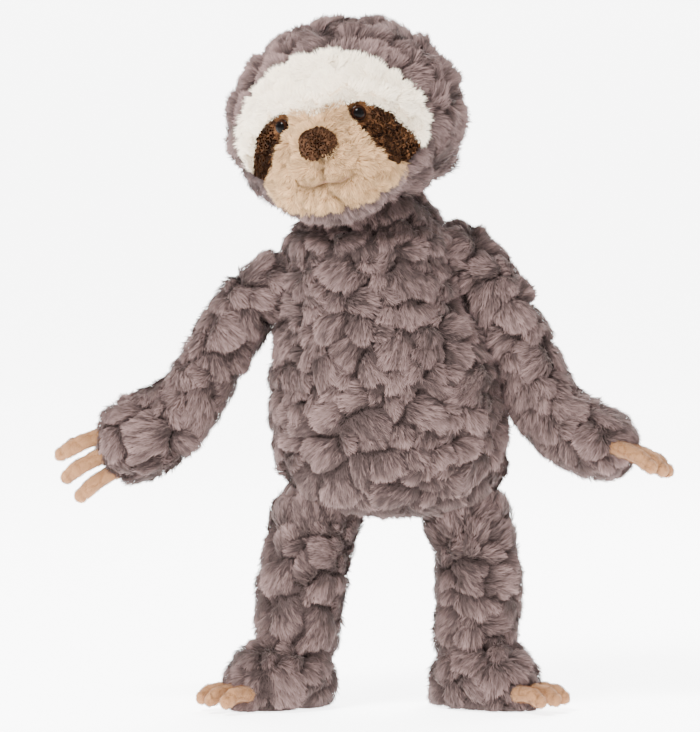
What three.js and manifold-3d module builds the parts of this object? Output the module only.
// Plush sloth: a stuffed toy with a hooded head, long arms, short legs and three claws on each paw.
// Millimetres. +X is the sloth's left side, -Y its front and +Z up. It stands on its soles at Z = 0.

import * as THREE from 'three';
import { mergeVertices } from 'three/addons/utils/BufferGeometryUtils.js';
import Module from 'manifold-3d';

const wasm = await Module();
wasm.setup();

// Cloth, seams and clearances; cutters run past what they cut by the overrun
const clothThickness = 2.4;
const fitGap = 0.35;
const seamGap = 0.4;
const seamCollarThickness = 2.4;
const cutOverrun = 8;

// The plush is embossed with staggered rows of lobes, like roof tiles that lie away from the head and face
const lobeLength = 20;
const lobeWidth = 22;
const lobeHeight = 4.2;

// Legs and feet: these carry the height of everything above them
const legLength = 93;
const legRadius = 16.5;
const hipBallRadius = 17;
const hipSpacing = 72;
const hipSetBack = 3;
const footLength = 53;
const footWidth = 38;
const footHeight = 31;
const soleFlatDepth = 0.5;
const ankleSetBack = 10;

// Torso
const torsoHeight = 142;
const torsoWidth = 107;
const torsoDepth = 84;
const hipDrop = 5.5;
const neckBallRadius = 31;
const neckBallDrop = 18.5;
const neckOpeningRadius = 13;
const seatPouchDepth = 26;

// Arms
const armLength = 120;
const armRadius = 17.5;
const shoulderBallRadius = 14;
const shoulderStandOff = 4;
const limbOpeningRadius = 5;

// Claws
const clawLength = 23;
const clawRadius = 3.9;
const clawBallRadius = 4.1;
const clawCount = 3;
const clawSpacing = 9;
const clawStandOff = 0.5;
const clawSetBack = 2;
const toeClawLength = 16;
const toeClawRootHeight = 9.5;

// Head and face
const headWidth = 110;
const headHeight = 93;
const headDepth = 92;
const headRise = 61.5;
const headLean = 12.5;
const headForward = 4;
const muzzleWidth = 66;
const muzzleHeight = 54;
const muzzleDepth = 40;
const muzzleDrop = 17;
const muzzleForward = 36;
const noseWidth = 19;
const noseHeight = 16.5;
const noseDepth = 9;
const eyeRadius = 3.6;
const eyeStemRadius = 1.4;
const eyeStemLength = 7;
const eyeWasherRadius = 5;
const eyeWasherThickness = 1.2;
const eyeSeatDepth = 1.1;
const mouthThreadRadius = 0.5;
const mouthStandOff = 0.5;

// Angles: how the head is held, how far the toes turn out and where a seam collar starts and ends
const headTurnDegrees = 15;
const headNodDegrees = 6;
const headTiltDegrees = 10;
const footToeOutDegrees = 55;
const collarFromDegrees = 106;
const collarToDegrees = 128;
const hoodLobesFromDegrees = 58;
const hoodLobesToDegrees = 172;

// Facet counts
const limbSides = 12;
const footSides = 14;
const torsoSides = 18;
const headSides = 20;
const muzzleSides = 16;
const ballSides = 14;
const socketSides = 10;
const clawSides = 8;
const threadSides = 6;
const endSteps = 2;
const armSteps = 8;
const legSteps = 4;
const clawSteps = 3;
const footSteps = 8;
const collarSteps = 2;
const eyeSteps = 4;
const mouthSteps = 8;

// Torso sections from seat to chest: height, sideways lean, width and depth
const torsoSectionShares = [
  [0.02, 0.06, 0.52, 0.5],
  [0.06, 0.06, 0.78, 0.76],
  [0.12, 0.05, 0.93, 0.91],
  [0.2, 0.02, 1, 0.99],
  [0.36, 0, 0.98, 1],
  [0.52, -0.04, 0.91, 0.99],
  [0.66, -0.13, 0.79, 0.96],
  [0.78, -0.16, 0.73, 0.91],
  [0.88, -0.13, 0.7, 0.84],
  [0.95, -0.12, 0.53, 0.6],
  [0.985, -0.12, 0.34, 0.38],
];

// Limb and claw profiles: place along the piece, width and thickness
const armProfileShares = [
  [0, 0.72, 0.72],
  [0.2, 0.7, 0.7],
  [0.45, 0.69, 0.66],
  [0.62, 0.78, 0.7],
  [0.8, 1, 0.78],
  [0.92, 0.98, 0.76],
];
const legProfileShares = [
  [0, 0.98, 0.98],
  [0.4, 1, 1],
  [0.75, 0.95, 0.95],
  [1, 0.9, 0.9],
];

const clawProfileShares = [
  [0, 0.95, 0.95],
  [0.6, 1, 1],
  [1, 0.86, 0.86],
];

// Limb paths from the pivot, each point across, front to back and up
const rightArmPathShares = [
  [0, 0, 0],
  [-0.1, 0, -0.05],
  [-0.247, -0.02, -0.292],
  [-0.4, -0.03, -0.512],
  [-0.52, -0.04, -0.59],
  [-0.685, -0.05, -0.67],
];
const leftArmPathShares = [
  [0, 0, 0],
  [0.125, 0, -0.1],
  [0.26, -0.01, -0.36],
  [0.364, -0.03, -0.6],
  [0.49, -0.06, -0.7],
  [0.665, -0.15, -0.755],
];
const rightLegPathShares = [
  [0, 0, 0],
  [-0.07, 0.01, -0.3],
  [-0.105, 0.02, -0.6],
  [-0.1, 0.03, -0.82],
];
const leftLegPathShares = [
  [0, 0, 0],
  [0.066, 0.01, -0.3],
  [0.055, 0.02, -0.6],
  [0.01, 0.03, -0.82],
];

// A lobe from its root to its edge: place along it and how high it stands there
const lobeProfileShares = [
  [0.06, 0.12],
  [0.5, 0.7],
  [0.88, 1],
];

// How high a lobe's edge stands at its sides, and how much lower the lowest lobes are
const lobeSideShare = 0.35;
const lobeWaverShare = 0.12;

// Places on the torso's height, and how far the neck leans to the side
const torsoLobesFromShare = 0.87;
const torsoLobesToShare = 0.1;
const rightShoulderHeightShare = 0.743;
const leftShoulderHeightShare = 0.835;
const neckLeanShare = -0.12;

// The right half of each face outline, on the head's half width and half height, seen square to the face
const browOuterHalfShares = [
  [0.14, 0.74],
  [0.42, 0.63],
  [0.65, 0.42],
  [0.8, 0.18],
  [0.85, -0.1],
  [0.77, -0.34],
];
const browInnerHalfShares = [
  [0.69, -0.12],
  [0.62, 0.04],
  [0.5, 0.17],
  [0.36, 0.25],
  [0.22, 0.24],
];
const browCentreShares = [0, 0.2];
const patchLowerHalfShares = [
  [0.26, 0.06],
  [0.34, -0.07],
  [0.44, -0.25],
  [0.58, -0.5],
];
const muzzleLowerHalfShares = [
  [0.53, -0.61],
  [0.35, -0.73],
  [0.12, -0.78],
];
const eyePlaceShares = [0.35, 0.11];
const nosePlaceShares = [0, -0.12];
const mouthPathShares = [
  [-0.25, -0.47],
  [-0.13, -0.53],
  [0, -0.5],
  [0.13, -0.53],
  [0.25, -0.47],
];

// Directions across, front to back and up: where the palms face, and the flat side of the left arm
const rightPalmShares = [0, 0.8, -0.6];
const leftPalmShares = [0, 0, -1];
const leftArmFlatShares = [0.5, -0.1, 0.85];

// How the claws fan out and curl
const clawFanShare = 0.1;
const clawBendShare = 0.55;
const clawCurlShare = 0.22;
const toeCurlShare = 0.3;

// The feet's fall towards the toes and their roundness, and the bulge of the eyes
const toeDropShare = 0.65;
const footRoundShare = 0.85;
const footSquareness = 2.5;
const eyeBulgeShare = 0.8;

// Points nearer than this share of a gap are one point; outlines keep at least this much at a corner;
// round forms have this share of rows to sides
const weldShare = 0.001;
const cornerShare = 0.4;
const rowShare = 0.6;

const X = new THREE.Vector3(1, 0, 0);
const Y = new THREE.Vector3(0, 1, 0);
const Z = new THREE.Vector3(0, 0, 1);

// Solids from geometry and back

function solidOf(geometry) {
  const bare = new THREE.BufferGeometry();
  bare.setAttribute('position', geometry.getAttribute('position').clone());
  if (geometry.index) {
    bare.setIndex(geometry.index.clone());
  }
  const merged = mergeVertices(bare, fitGap * weldShare);
  const vertProperties = new Float32Array(merged.getAttribute('position').array);
  const triVerts = new Uint32Array(merged.index.array);
  return new wasm.Manifold(new wasm.Mesh({ numProp: 3, vertProperties, triVerts }));
}

function geometryOf(solid) {
  const mesh = solid.getMesh();
  const geometry = new THREE.BufferGeometry();
  geometry.setAttribute('position', new THREE.BufferAttribute(new Float32Array(mesh.vertProperties), 3));
  geometry.setIndex(new THREE.BufferAttribute(new Uint32Array(mesh.triVerts), 1));
  geometry.computeVertexNormals();
  return geometry;
}

function cutBy(solid, tools) {
  return tools.reduce((rest, tool) => rest.subtract(tool), solid);
}

// A corner of a ring, which may stand out from its oval
function ringPoint(ring, angle, squareness, out) {
  const across = Math.sign(Math.cos(angle)) * Math.abs(Math.cos(angle)) ** (2 / squareness);
  const upward = Math.sign(Math.sin(angle)) * Math.abs(Math.sin(angle)) ** (2 / squareness);
  return ring.centre
    .clone()
    .addScaledVector(ring.across, (ring.halfAcross + out) * across)
    .addScaledVector(ring.up, (ring.halfUp + out) * upward);
}

// A closed form through rings, each an oval about its centre; the first and last ring are points.
function loftForm(rings, sides, squareness = 2) {
  const positions = [];
  const faces = [];
  const last = rings.length - 1;
  const first = rings[0].centre;
  positions.push(first.x, first.y, first.z);
  for (let i = 1; i < last; i += 1) {
    for (let k = 0; k < sides; k += 1) {
      const out = rings[i].lobes ? rings[i].lobes[k] : 0;
      const point = ringPoint(rings[i], (2 * Math.PI * k) / sides, squareness, out);
      positions.push(point.x, point.y, point.z);
    }
  }
  const end = rings[last].centre;
  positions.push(end.x, end.y, end.z);
  const at = (ring, k) => 1 + (ring - 1) * sides + (k % sides);
  const endIndex = 1 + (last - 1) * sides;
  for (let k = 0; k < sides; k += 1) {
    faces.push(0, at(1, k + 1), at(1, k));
    for (let i = 1; i < last - 1; i += 1) {
      faces.push(at(i, k), at(i, k + 1), at(i + 1, k + 1));
      faces.push(at(i, k), at(i + 1, k + 1), at(i + 1, k));
    }
    faces.push(at(last - 1, k), at(last - 1, k + 1), endIndex);
  }
  const geometry = new THREE.BufferGeometry();
  geometry.setAttribute('position', new THREE.Float32BufferAttribute(positions, 3));
  geometry.setIndex(faces);
  return solidOf(geometry);
}

function ellipsoid(centre, halfSizes, rotation, sides) {
  const geometry = new THREE.SphereGeometry(1, sides, Math.round(sides * rowShare));
  geometry.rotateX(Math.PI / 2);
  geometry.scale(halfSizes.x, halfSizes.y, halfSizes.z);
  geometry.applyQuaternion(rotation);
  geometry.translate(centre.x, centre.y, centre.z);
  return solidOf(geometry);
}

// A ball used as a cutter keeps its flat facets at or beyond the radius asked for.
function clearRadius(radius, sides) {
  return radius / Math.cos(Math.PI / sides) ** 2;
}

function clearBall(centre, radius, sides) {
  const geometry = new THREE.SphereGeometry(clearRadius(radius, sides), sides, sides / 2);
  geometry.translate(centre.x, centre.y, centre.z);
  return solidOf(geometry);
}

function rodFrom(start, direction, radius, length, sides = limbSides) {
  const geometry = new THREE.CylinderGeometry(radius, radius, length, sides);
  geometry.applyQuaternion(new THREE.Quaternion().setFromUnitVectors(Y, direction));
  const middle = start.clone().addScaledVector(direction, length / 2);
  geometry.translate(middle.x, middle.y, middle.z);
  return solidOf(geometry);
}

// A thread or tube along a curve, with flat ends
function tubeAlong(curve, radius, steps) {
  const corners = [];
  for (let k = 0; k < threadSides; k += 1) {
    const angle = (2 * Math.PI * k) / threadSides;
    corners.push(new THREE.Vector2(radius * Math.cos(angle), radius * Math.sin(angle)));
  }
  const section = new THREE.Shape(corners);
  return solidOf(new THREE.ExtrudeGeometry(section, { steps, bevelEnabled: false, extrudePath: curve }));
}

// Rows of lobes between two places. ringAtPlace gives a ring and clearAt the share of its height that a lobe
// may have at a point. Every second corner lies between two lobes, and the next row's lobes lie there.
function lobedRings(from, to, rows, sides, ringAtPlace, clearAt) {
  const rings = [];
  for (let row = 0; row < rows; row += 1) {
    for (const [along, rise] of lobeProfileShares) {
      const place = THREE.MathUtils.lerp(from, to, (row + along) / rows);
      const ring = ringAtPlace(place);
      ring.lobes = [];
      for (let k = 0; k < sides; k += 1) {
        const uneven = 1 - lobeWaverShare * Math.sin(k * k + row) ** 2;
        const side = (k + row) % 2 === 0 ? 1 : THREE.MathUtils.lerp(1, lobeSideShare, along);
        const clear = clearAt(ringPoint(ring, (2 * Math.PI * k) / sides, 2, 0));
        ring.lobes.push(lobeHeight * rise * side * uneven * clear);
      }
      rings.push(ring);
    }
  }
  return rings;
}

// The values of a table at a place between two of its rows, eased
function sharesAt(table, place) {
  if (place <= table[0][0]) {
    return table[0].slice(1);
  }
  for (let i = 1; i < table.length; i += 1) {
    if (place <= table[i][0]) {
      const span = (place - table[i - 1][0]) / (table[i][0] - table[i - 1][0]);
      const ease = span * span * (3 - 2 * span);
      return table[i].slice(1).map((value, k) => THREE.MathUtils.lerp(table[i - 1][k + 1], value, ease));
    }
  }
  return table[table.length - 1].slice(1);
}

// Heights and pivots, from the soles upwards

const hipHeight = legLength;
const seatHeight = hipHeight + hipDrop;
const neckPivot = new THREE.Vector3(
  (neckLeanShare * torsoWidth) / 2,
  0,
  seatHeight + torsoHeight - neckBallDrop,
);
const hipCentre = (sharesAt(torsoSectionShares, 0)[0] * torsoWidth) / 2;
const headCentre = neckPivot.clone().add(new THREE.Vector3(-headLean, -headForward, headRise));

function hipPivot(side) {
  return new THREE.Vector3(hipCentre + (side * hipSpacing) / 2, hipSetBack, hipHeight);
}

function torsoEdge(heightShare, side) {
  const [lean, width] = sharesAt(torsoSectionShares, heightShare);
  return (lean * torsoWidth) / 2 + (side * width * torsoWidth) / 2;
}

function shoulderPivot(side) {
  const heightShare = side > 0 ? leftShoulderHeightShare : rightShoulderHeightShare;
  return new THREE.Vector3(
    torsoEdge(heightShare, side) + side * shoulderStandOff,
    0,
    seatHeight + heightShare * torsoHeight,
  );
}

// Torso

function torsoRing(share, inset) {
  const [lean, width, depth] = sharesAt(torsoSectionShares, share);
  const height = seatHeight + torsoHeight / 2 + (share - 0.5) * (torsoHeight - 2 * inset);
  return {
    centre: new THREE.Vector3((lean * torsoWidth) / 2, 0, height),
    across: X,
    up: Y,
    halfAcross: (width * torsoWidth) / 2 - inset,
    halfUp: (depth * torsoDepth) / 2 - inset,
  };
}

function torsoFrom(rings, sides, inset) {
  const neckBall = ellipsoid(
    neckPivot,
    new THREE.Vector3().setScalar(neckBallRadius - inset),
    new THREE.Quaternion(),
    ballSides,
  );
  return loftForm([torsoRing(0, inset), ...rings, torsoRing(1, inset)], sides).add(neckBall);
}

function torsoForm(inset) {
  const rings = torsoSectionShares.map(([share]) => torsoRing(share, inset));
  return torsoFrom(rings, torsoSides, inset);
}

// The outside of the torso's plush. Its lobes stand on a surface that is sunk by their height.
function lobedTorso() {
  const from = torsoLobesFromShare;
  const to = torsoLobesToShare;
  const rows = Math.round(((from - to) * torsoHeight) / lobeLength);
  const girth = (Math.PI * (torsoWidth + torsoDepth)) / 2;
  const sides = 2 * Math.round(girth / lobeWidth);
  const lobed = lobedRings(from, to, rows, sides, (share) => torsoRing(share, lobeHeight), () => 1);
  const plain = torsoSectionShares.map(([share]) => share);
  const below = plain.filter((share) => share < to).map((share) => torsoRing(share, 0));
  const above = plain.filter((share) => share > from).map((share) => torsoRing(share, 0));
  return torsoFrom([...below, ...lobed.reverse(), ...above], sides, 0);
}

function limbSockets(extra) {
  const shoulder = shoulderBallRadius + fitGap * 2 + seamCollarThickness + extra;
  const hip = hipBallRadius + fitGap * 2 + seamCollarThickness + extra;
  return [
    clearBall(shoulderPivot(1), shoulder, ballSides),
    clearBall(shoulderPivot(-1), shoulder, ballSides),
    clearBall(hipPivot(1), hip, ballSides),
    clearBall(hipPivot(-1), hip, ballSides),
  ];
}

function neckOpening() {
  return rodFrom(neckPivot, Z, neckOpeningRadius, neckBallRadius + cutOverrun);
}

function torsoSkin() {
  const outside = cutBy(lobedTorso(), limbSockets(0));
  const inside = cutBy(torsoForm(lobeHeight + clothThickness), limbSockets(clothThickness));
  return outside.subtract(inside).subtract(neckOpening());
}

// The torso's filling: loose fibre above, a pouch of pellets in the seat below
function torsoFilling() {
  const inset = clothThickness + fitGap;
  return cutBy(torsoForm(lobeHeight + inset), limbSockets(inset));
}

function blockAbove(height) {
  const reach = torsoHeight + torsoWidth;
  const block = new THREE.BoxGeometry(2 * reach, 2 * reach, 2 * reach);
  block.translate(0, 0, height + reach);
  return solidOf(block);
}

function torsoStuffing() {
  return torsoFilling().intersect(blockAbove(seatHeight + seatPouchDepth + fitGap));
}

function seatPouch() {
  return torsoFilling().subtract(blockAbove(seatHeight + seatPouchDepth));
}

// Limbs: a ball at the root, a tapered tube along the path and a rounded end

function pathOf(pivot, shares, length) {
  const points = shares.map(
    ([x, y, z]) => new THREE.Vector3(pivot.x + x * length, pivot.y + y * length, pivot.z + z * length),
  );
  return new THREE.CatmullRomCurve3(points, false, 'centripetal');
}

function ringAt(path, place, reference, halfAcross, halfUp) {
  const tangent = path.getTangentAt(place);
  const up = reference.clone().addScaledVector(tangent, -reference.dot(tangent)).normalize();
  const across = new THREE.Vector3().crossVectors(up, tangent);
  return { centre: path.getPointAt(place), across, up, halfAcross, halfUp };
}

function limbForm({ path, ballRadius, radius, profile, reference, sides, steps }, inset) {
  const length = path.getLength();
  const ball = ballRadius - inset;
  const start = path.getPointAt(0);
  const startTangent = path.getTangentAt(0);
  const rings = [{ centre: start.clone().addScaledVector(startTangent, -ball) }];
  for (let i = endSteps; i > 0; i -= 1) {
    const angle = ((Math.PI / 2) * i) / (endSteps + 1);
    const ring = ringAt(path, 0, reference, ball * Math.cos(angle), ball * Math.cos(angle));
    ring.centre = start.clone().addScaledVector(startTangent, -ball * Math.sin(angle));
    rings.push(ring);
  }
  const [tipWidth, tipThickness] = sharesAt(profile, 1);
  const roundLength = radius * tipThickness;
  const straight = length - roundLength;
  for (let i = 0; i <= steps; i += 1) {
    const along = (straight * i) / steps;
    const [width, thickness] = sharesAt(profile, along / length);
    const ballPart = Math.sqrt(Math.max(ball * ball - along * along, 0));
    const halfAcross = Math.max(ballPart, radius * width - inset);
    const halfUp = Math.max(ballPart, radius * thickness - inset);
    rings.push(ringAt(path, along / length, reference, halfAcross, halfUp));
  }
  for (let i = 1; i <= endSteps; i += 1) {
    const angle = ((Math.PI / 2) * i) / (endSteps + 1);
    const along = straight + (roundLength - inset) * Math.sin(angle);
    const halfAcross = (radius * tipWidth - inset) * Math.cos(angle);
    const halfUp = (radius * tipThickness - inset) * Math.cos(angle);
    rings.push(ringAt(path, along / length, reference, halfAcross, halfUp));
  }
  rings.push({ centre: path.getPointAt((length - inset) / length) });
  return loftForm(rings, sides);
}

function rootOpening(path, ballRadius) {
  const back = path.getTangentAt(0).negate();
  return rodFrom(path.getPointAt(0), back, limbOpeningRadius, ballRadius + cutOverrun);
}

// The folded seam allowance round a limb's root: a slice of a hollow ball
function seamCollar(pivot, outward, ballRadius) {
  const inner = clearRadius(ballRadius + fitGap, ballSides);
  const outer = ballRadius + fitGap + seamCollarThickness;
  const arc = (radius, share) => {
    const angle = THREE.MathUtils.degToRad(THREE.MathUtils.lerp(collarFromDegrees, collarToDegrees, share));
    return new THREE.Vector2(radius * Math.sin(angle), radius * Math.cos(angle));
  };
  const profile = [];
  for (let i = collarSteps; i >= 0; i -= 1) {
    profile.push(arc(outer, i / collarSteps));
  }
  for (let i = 0; i <= collarSteps; i += 1) {
    profile.push(arc(inner, i / collarSteps));
  }
  profile.push(profile[0].clone());
  const geometry = new THREE.LatheGeometry(profile, ballSides);
  geometry.applyQuaternion(new THREE.Quaternion().setFromUnitVectors(Y, outward));
  geometry.translate(pivot.x, pivot.y, pivot.z);
  return solidOf(geometry);
}

// Claws: each turns on a small ball set into the end of the paw

function clawPlans(middle, spread, forward, palm, length, curlShare) {
  const plans = [];
  for (let i = 0; i < clawCount; i += 1) {
    const shift = i - (clawCount - 1) / 2;
    const pointing = forward.clone().addScaledVector(spread, shift * clawFanShare).normalize();
    const pivot = middle
      .clone()
      .addScaledVector(spread, shift * clawSpacing)
      .addScaledVector(forward, -Math.abs(shift) * clawSetBack);
    const bend = pivot.clone().addScaledVector(pointing, length * clawBendShare);
    const tip = pivot
      .clone()
      .addScaledVector(pointing, length)
      .addScaledVector(palm, length * curlShare);
    plans.push({ pivot, path: new THREE.CatmullRomCurve3([pivot, bend, tip]), reference: spread });
  }
  return plans;
}

function clawForm({ path, reference }) {
  return limbForm(
    {
      path,
      ballRadius: clawBallRadius,
      radius: clawRadius,
      profile: clawProfileShares,
      reference,
      sides: clawSides,
      steps: clawSteps,
    },
    0,
  );
}

// A paw has a socket for each claw; its lining and its stuffing end at a flat wall behind them.
function pawCuts({ claws, forward }, inset) {
  if (inset === 0) {
    return claws.map(({ pivot }) => clearBall(pivot, clawBallRadius + fitGap, socketSides));
  }
  const reach = armLength;
  const depth = clearRadius(clawBallRadius + fitGap, socketSides) + clawSetBack + inset;
  const block = new THREE.BoxGeometry(reach, reach, reach);
  block.translate(0, reach / 2, 0);
  block.applyQuaternion(new THREE.Quaternion().setFromUnitVectors(Y, forward));
  const wall = claws[(clawCount - 1) / 2].pivot.clone().addScaledVector(forward, -depth);
  block.translate(wall.x, wall.y, wall.z);
  return [solidOf(block)];
}

// Arms

function armPlan(side) {
  const pivot = shoulderPivot(side);
  const path = pathOf(pivot, side > 0 ? leftArmPathShares : rightArmPathShares, armLength);
  const reference = side > 0 ? new THREE.Vector3(...leftArmFlatShares).normalize() : Y;
  const palm = new THREE.Vector3(...(side > 0 ? leftPalmShares : rightPalmShares));
  const forward = path.getTangentAt(1);
  const spread = ringAt(path, 1, reference).across;
  const middle = path.getPointAt(1).addScaledVector(forward, clawStandOff);
  return {
    pivot,
    path,
    forward,
    outward: new THREE.Vector3(side, 0, 0),
    claws: clawPlans(middle, spread, forward, palm, clawLength, clawCurlShare),
    form: {
      path,
      ballRadius: shoulderBallRadius,
      radius: armRadius,
      profile: armProfileShares,
      reference,
      sides: limbSides,
      steps: armSteps,
    },
  };
}

function armBody(plan, inset) {
  return cutBy(limbForm(plan.form, inset), pawCuts(plan, inset));
}

// Legs

function footForm(ankle, forward, inset) {
  const side = new THREE.Vector3().crossVectors(Z, forward).normalize();
  const centre = ankle.clone().addScaledVector(forward, ankleSetBack);
  const rings = [];
  for (let i = 0; i <= footSteps; i += 1) {
    const angle = Math.PI * (i / footSteps - 0.5);
    const share = Math.cos(angle) ** footRoundShare;
    const along = (footLength / 2 - inset) * Math.sin(angle);
    const lift = (footHeight / 2) * (1 - toeDropShare * (1 - share)) - soleFlatDepth;
    rings.push({
      centre: centre.clone().addScaledVector(forward, along).setZ(lift),
      across: side,
      up: Z,
      halfAcross: (footWidth / 2 - inset) * share,
      halfUp: (footHeight / 2 - inset) * share,
    });
  }
  return loftForm(rings, footSides, footSquareness);
}

function belowFloor(lift) {
  const reach = legLength + torsoWidth;
  const block = new THREE.BoxGeometry(2 * reach, 2 * reach, reach);
  block.translate(0, 0, lift - reach / 2);
  return solidOf(block);
}

function legPlan(side) {
  const pivot = hipPivot(side);
  const path = pathOf(pivot, side > 0 ? leftLegPathShares : rightLegPathShares, legLength);
  const turn = THREE.MathUtils.degToRad(footToeOutDegrees);
  const forward = new THREE.Vector3(side * Math.sin(turn), -Math.cos(turn), 0);
  const spread = new THREE.Vector3().crossVectors(Z, forward);
  const ankle = path.getPointAt(1);
  const middle = ankle
    .clone()
    .addScaledVector(forward, ankleSetBack + footLength / 2 + clawStandOff)
    .setZ(toeClawRootHeight);
  const palm = Z.clone().negate();
  return {
    pivot,
    path,
    ankle,
    forward,
    outward: Z.clone().negate(),
    claws: clawPlans(middle, spread, forward, palm, toeClawLength, toeCurlShare),
    form: {
      path,
      ballRadius: hipBallRadius,
      radius: legRadius,
      profile: legProfileShares,
      reference: Y,
      sides: limbSides,
      steps: legSteps,
    },
  };
}

function legBody(plan, inset) {
  const whole = limbForm(plan.form, inset).add(footForm(plan.ankle, plan.forward, inset));
  return cutBy(whole, pawCuts(plan, inset)).subtract(belowFloor(inset));
}

// A limb's cloth skin, open at the root, and the stuffing inside it
function limbSkin(plan, bodyOf) {
  const inside = bodyOf(plan, clothThickness);
  return bodyOf(plan, 0).subtract(inside).subtract(rootOpening(plan.path, plan.form.ballRadius));
}

function limbStuffing(plan, bodyOf) {
  return bodyOf(plan, clothThickness + fitGap);
}

// Head: one layer of cloth cut into the hood and the face panels

const headTurn = new THREE.Quaternion()
  .setFromAxisAngle(Z, -THREE.MathUtils.degToRad(headTurnDegrees))
  .multiply(new THREE.Quaternion().setFromAxisAngle(X, THREE.MathUtils.degToRad(headNodDegrees)))
  .multiply(new THREE.Quaternion().setFromAxisAngle(Y, -THREE.MathUtils.degToRad(headTiltDegrees)));

function headPlace(x, y, z) {
  return new THREE.Vector3(x, y, z).applyQuaternion(headTurn).add(headCentre);
}

function headForm(inset) {
  const head = ellipsoid(
    headCentre,
    new THREE.Vector3(headWidth / 2 - inset, headDepth / 2 - inset, headHeight / 2 - inset),
    headTurn,
    headSides,
  );
  const muzzle = ellipsoid(
    headPlace(0, -muzzleForward, -muzzleDrop),
    new THREE.Vector3(muzzleWidth / 2 - inset, muzzleDepth / 2 - inset, muzzleHeight / 2 - inset),
    headTurn,
    muzzleSides,
  );
  const seats = [-1, 1].map((side) => eyeSeat(side, inset));
  return cutBy(head.add(muzzle), seats);
}

// The outside of the hood's plush, with lobes that rise from the head's surface behind the face
function lobedHood() {
  const across = X.clone().applyQuaternion(headTurn);
  const up = Z.clone().applyQuaternion(headTurn);
  const ringAtAngle = (angle) => ({
    centre: headPlace(0, (-headDepth / 2) * Math.cos(angle), 0),
    across,
    up,
    halfAcross: (headWidth / 2) * Math.sin(angle),
    halfUp: (headHeight / 2) * Math.sin(angle),
  });
  const clearAt = (point) => {
    const room = point.distanceTo(neckPivot) - neckBallRadius - seamCollarThickness;
    return THREE.MathUtils.smoothstep(room, lobeHeight, lobeHeight + lobeLength);
  };
  const from = THREE.MathUtils.degToRad(hoodLobesFromDegrees);
  const to = THREE.MathUtils.degToRad(hoodLobesToDegrees);
  const rows = Math.round(((to - from) * headDepth) / 2 / lobeLength);
  const sides = 2 * Math.round((Math.PI * (headWidth + headHeight)) / 2 / lobeWidth);
  const lobed = lobedRings(from, to, rows, sides, ringAtAngle, clearAt);
  const front = [];
  for (let i = 0; i <= rows; i += 1) {
    front.push(ringAtAngle((from * i) / (rows + 1)));
  }
  return loftForm([ringAtAngle(Math.PI), ...lobed.reverse(), ...front.reverse()], sides);
}

function neckSocket(extra) {
  const radius = neckBallRadius + fitGap * 2 + seamCollarThickness + extra;
  return clearBall(neckPivot, radius, ballSides);
}

function headLayerUnder(outside) {
  const inside = headForm(clothThickness).subtract(neckSocket(clothThickness));
  return outside.subtract(neckSocket(0)).subtract(inside);
}

const headLayer = headLayerUnder(headForm(0));

function headStuffing() {
  const inset = clothThickness + fitGap;
  const pockets = [-1, 1].flatMap((side) => eyePocket(side));
  return cutBy(headForm(inset).subtract(neckSocket(inset)), pockets);
}

// A clockwise outline moved outwards by the same distance all along; sharp corners are held back
function movedOutline(points, distance) {
  return points.map((point, i) => {
    const before = point.clone().sub(points[(i + points.length - 1) % points.length]).normalize();
    const after = points[(i + 1) % points.length].clone().sub(point).normalize();
    const normalBefore = new THREE.Vector2(-before.y, before.x);
    const normalAfter = new THREE.Vector2(-after.y, after.x);
    const bisector = normalBefore.add(normalAfter).normalize();
    const spread = Math.max(bisector.dot(normalAfter), cornerShare);
    return point.clone().addScaledVector(bisector, distance / spread);
  });
}

function mirrored(halfShares) {
  return halfShares.map(([x, z]) => [-x, z]).reverse();
}

function outlineOf(shares) {
  return shares.map(([x, z]) => new THREE.Vector2((x * headWidth) / 2, (z * headHeight) / 2));
}

// A block in front of the head with the given outline, which runs clockwise seen from the front
function faceBlock(shares, distance) {
  const shape = new THREE.Shape(movedOutline(outlineOf(shares), distance));
  const depth = headDepth / 2 + muzzleForward + muzzleDepth;
  const geometry = new THREE.ExtrudeGeometry(shape, { depth, bevelEnabled: false });
  geometry.rotateX(Math.PI / 2);
  geometry.applyQuaternion(headTurn);
  geometry.translate(headCentre.x, headCentre.y, headCentre.z);
  return solidOf(geometry);
}

const browShares = [
  ...mirrored(browOuterHalfShares),
  ...browOuterHalfShares,
  ...browInnerHalfShares,
  browCentreShares,
  ...mirrored(browInnerHalfShares),
];
const leftPatchShares = [
  ...browInnerHalfShares.slice().reverse(),
  browOuterHalfShares.at(-1),
  ...patchLowerHalfShares.slice().reverse(),
];
const muzzleShares = [
  browCentreShares,
  browInnerHalfShares.at(-1),
  ...patchLowerHalfShares,
  ...muzzleLowerHalfShares,
  ...mirrored(muzzleLowerHalfShares),
  ...mirrored(patchLowerHalfShares),
  mirrored(browInnerHalfShares)[0],
];
const faceShares = [
  ...mirrored(browOuterHalfShares),
  ...browOuterHalfShares,
  patchLowerHalfShares.at(-1),
  ...muzzleLowerHalfShares,
  ...mirrored(muzzleLowerHalfShares),
  mirrored(patchLowerHalfShares)[0],
];

function facePanel(shares) {
  return headLayer.intersect(faceBlock(shares, -seamGap / 2));
}

function eyePatch(side) {
  const shares = side > 0 ? leftPatchShares : mirrored(leftPatchShares);
  return facePanel(shares).subtract(eyeStemHole(side));
}

function hood() {
  const reach = neckBallRadius + seamCollarThickness + cutOverrun;
  const opening = rodFrom(neckPivot, Z, neckOpeningRadius, reach);
  const layer = headLayerUnder(headForm(0).add(lobedHood()));
  return layer.subtract(faceBlock(faceShares, seamGap / 2)).subtract(opening);
}

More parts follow.
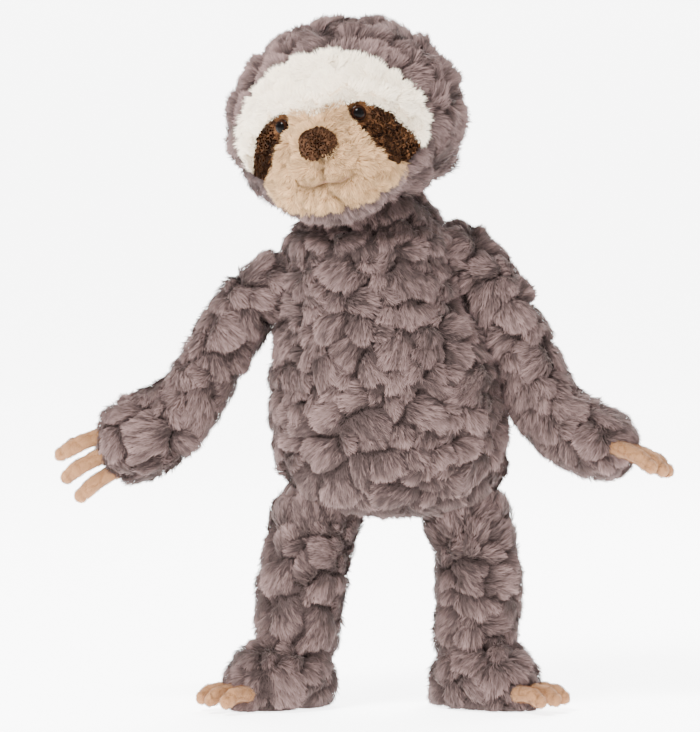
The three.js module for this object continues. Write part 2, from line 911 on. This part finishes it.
// The eye's place, pressed a little into the head's surface, and the way it looks
function eyePlace(side) {
  const [acrossShare, upShare] = eyePlaceShares;
  const x = (side * acrossShare * headWidth) / 2;
  const z = (upShare * headHeight) / 2;
  const y = (-headDepth / 2) * Math.sqrt(1 - acrossShare ** 2 - upShare ** 2);
  const outward = new THREE.Vector3(
    x / (headWidth / 2) ** 2,
    y / (headDepth / 2) ** 2,
    z / (headHeight / 2) ** 2,
  )
    .normalize()
    .applyQuaternion(headTurn);
  return { point: headPlace(x, y, z).addScaledVector(outward, -eyeSeatDepth), outward };
}

// A glossy dome on a stem that passes through the cloth
function eyeForm(side) {
  const { point, outward } = eyePlace(side);
  const bulge = eyeRadius * eyeBulgeShare;
  const profile = [
    new THREE.Vector2(0, -eyeStemLength),
    new THREE.Vector2(eyeStemRadius, -eyeStemLength),
    new THREE.Vector2(eyeStemRadius, fitGap),
  ];
  for (let i = 0; i < eyeSteps; i += 1) {
    const angle = ((Math.PI / 2) * i) / eyeSteps;
    profile.push(new THREE.Vector2(eyeRadius * Math.cos(angle), fitGap + bulge * Math.sin(angle)));
  }
  profile.push(new THREE.Vector2(0, fitGap + bulge));
  const geometry = new THREE.LatheGeometry(profile, limbSides);
  geometry.applyQuaternion(new THREE.Quaternion().setFromUnitVectors(Y, outward));
  geometry.translate(point.x, point.y, point.z);
  return solidOf(geometry);
}

// A flat seat for the eye, with room for its dome where the muzzle and brow swell up beside it
function eyeSeat(side, inset) {
  const { point, outward } = eyePlace(side);
  const start = point.clone().addScaledVector(outward, -inset);
  return rodFrom(start, outward, eyeRadius + fitGap + inset, eyeRadius * 2 + cutOverrun);
}

function eyeStemHole(side) {
  const { point, outward } = eyePlace(side);
  const start = point.clone().addScaledVector(outward, -eyeStemLength - cutOverrun / 2);
  return rodFrom(start, outward, eyeStemRadius + fitGap, eyeStemLength + cutOverrun);
}

// The lock washer pushed onto the eye's stem behind the cloth
function eyeWasher(side) {
  const { point, outward } = eyePlace(side);
  const depth = clothThickness + fitGap + eyeWasherThickness;
  const start = point.clone().addScaledVector(outward, -depth);
  return rodFrom(start, outward, eyeWasherRadius, eyeWasherThickness).subtract(eyeStemHole(side));
}

function eyePocket(side) {
  const { point, outward } = eyePlace(side);
  const depth = clothThickness + 2 * fitGap + eyeWasherThickness;
  const start = point.clone().addScaledVector(outward, -depth);
  const mouth = rodFrom(start, outward, eyeWasherRadius + fitGap, depth);
  return [mouth, eyeStemHole(side)];
}

function surfaceOfMuzzle(xShare, zShare, lift) {
  const x = (xShare * headWidth) / 2;
  const z = (zShare * headHeight) / 2;
  const across = x / (muzzleWidth / 2);
  const upward = (z + muzzleDrop) / (muzzleHeight / 2);
  const y = -muzzleForward - (muzzleDepth / 2) * Math.sqrt(1 - across ** 2 - upward ** 2);
  return headPlace(x, y - lift, z);
}

function noseForm() {
  const [xShare, zShare] = nosePlaceShares;
  const pad = ellipsoid(
    surfaceOfMuzzle(xShare, zShare, 0),
    new THREE.Vector3(noseWidth / 2, noseDepth / 2, noseHeight / 2),
    headTurn,
    ballSides,
  );
  return pad.subtract(headForm(-fitGap));
}

function mouthStitch() {
  const lift = mouthThreadRadius + mouthStandOff;
  const points = mouthPathShares.map(([x, z]) => surfaceOfMuzzle(x, z, lift));
  return tubeAlong(new THREE.CatmullRomCurve3(points), mouthThreadRadius, mouthSteps);
}

// Materials

const furMaterial = clothMaterial(0x8c7d78);
const browMaterial = clothMaterial(0xf0ebe1);
const tanMaterial = clothMaterial(0xd7bea0);
const patchMaterial = clothMaterial(0x4b3220);
const noseMaterial = clothMaterial(0x543620);
const clawMaterial = clothMaterial(0xd7af87);
const stuffingMaterial = clothMaterial(0xf4f4f2);
const pouchMaterial = clothMaterial(0xd9d4c8);
const collarMaterial = clothMaterial(0x6f625e);
const threadMaterial = clothMaterial(0xb89872);
const eyeMaterial = plasticMaterial(0x120d0a, 0.15);
const washerMaterial = plasticMaterial(0xe8e8e8, 0.6);

function clothMaterial(colour) {
  return new THREE.MeshStandardMaterial({ color: colour, roughness: 0.95, metalness: 0 });
}

function plasticMaterial(colour, roughness) {
  return new THREE.MeshStandardMaterial({ color: colour, roughness, metalness: 0 });
}

// The doll: one group for each moving body, placed at the point that it turns about

const sloth = new THREE.Group();

function movingBody(name, pivot) {
  const body = new THREE.Group();
  body.name = name;
  body.position.copy(pivot);
  sloth.add(body);
  return body;
}

function addPiece(body, name, solid, material) {
  const geometry = geometryOf(solid).translate(-body.position.x, -body.position.y, -body.position.z);
  const mesh = new THREE.Mesh(geometry, material);
  mesh.name = name;
  body.add(mesh);
}

const sideNames = new Map([[1, 'left'], [-1, 'right']]);

function addTorso() {
  const torso = movingBody('torso', new THREE.Vector3(0, 0, seatHeight));
  addPiece(torso, 'torso_skin', torsoSkin(), furMaterial);
  addPiece(torso, 'torso_stuffing', torsoStuffing(), stuffingMaterial);
  addPiece(torso, 'seat_pellet_pouch', seatPouch(), pouchMaterial);
}

function addHead() {
  const neck = movingBody('neck_collar', neckPivot);
  const down = Z.clone().negate();
  addPiece(neck, 'neck_seam', seamCollar(neckPivot, down, neckBallRadius), collarMaterial);
  const head = movingBody('head', neckPivot);
  addPiece(head, 'head_hood', hood(), furMaterial);
  addPiece(head, 'head_stuffing', headStuffing(), stuffingMaterial);
  addPiece(head, 'brow_panel', facePanel(browShares), browMaterial);
  addPiece(head, 'muzzle_panel', facePanel(muzzleShares), tanMaterial);
  addPiece(head, 'nose', noseForm(), noseMaterial);
  addPiece(head, 'mouth_stitch', mouthStitch(), threadMaterial);
  for (const [side, word] of sideNames) {
    addPiece(head, `eye_patch_${word}`, eyePatch(side), patchMaterial);
    addPiece(head, `eye_${word}`, eyeForm(side), eyeMaterial);
    addPiece(head, `eye_washer_${word}`, eyeWasher(side), washerMaterial);
  }
}

function addLimb(plan, bodyOf, limb, joint, claw, word) {
  const collarBody = movingBody(`${joint}_collar_${word}`, plan.pivot);
  const collar = seamCollar(plan.pivot, plan.outward, plan.form.ballRadius);
  addPiece(collarBody, `${joint}_seam_${word}`, collar, collarMaterial);
  const body = movingBody(`${limb}_${word}`, plan.pivot);
  addPiece(body, `${limb}_skin_${word}`, limbSkin(plan, bodyOf), furMaterial);
  addPiece(body, `${limb}_stuffing_${word}`, limbStuffing(plan, bodyOf), stuffingMaterial);
  plan.claws.forEach((clawPlan, i) => {
    const clawBody = movingBody(`${claw}_${word}_${i + 1}`, clawPlan.pivot);
    addPiece(clawBody, `${claw}_claw_${word}_${i + 1}`, clawForm(clawPlan), clawMaterial);
  });
}

addTorso();
addHead();
for (const [side, word] of sideNames) {
  addLimb(armPlan(side), armBody, 'arm', 'shoulder', 'hand', word);
  addLimb(legPlan(side), legBody, 'leg', 'hip', 'foot', word);
}

// The origin lies on the floor under the middle of the doll.
const box = new THREE.Box3().setFromObject(sloth);
sloth.position.set(-(box.min.x + box.max.x) / 2, -(box.min.y + box.max.y) / 2, -box.min.z);

export default sloth;
